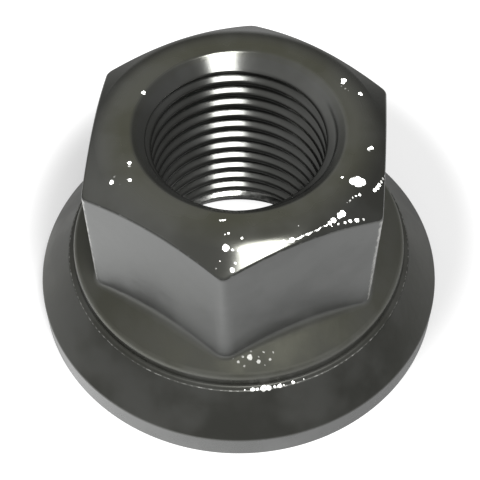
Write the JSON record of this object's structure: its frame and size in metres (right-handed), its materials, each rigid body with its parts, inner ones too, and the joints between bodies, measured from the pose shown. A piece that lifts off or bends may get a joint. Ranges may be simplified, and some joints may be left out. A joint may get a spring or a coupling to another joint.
{
  "type": "wheel nut",
  "caption": "One-piece steel hexagon wheel nut with a collar, a wide flat-seated flange and a threaded through bore.",
  "frame": {"origin": "centre of the flat seat, on the axis of the bore", "axes": "+Z along the bore axis, from the seat to the top face of the hexagon; -Y towards one corner of the hexagon"},
  "size_m": [0.0504, 0.0504, 0.0302],
  "materials": {
    "oiled_steel": "dark olive-grey oxidised forged steel under a thin film of oil, glossy, with small bright flecks"
  },
  "bodies": {
    "root": {"wheel_nut": "oiled_steel"}
  },
  "joints": []
}
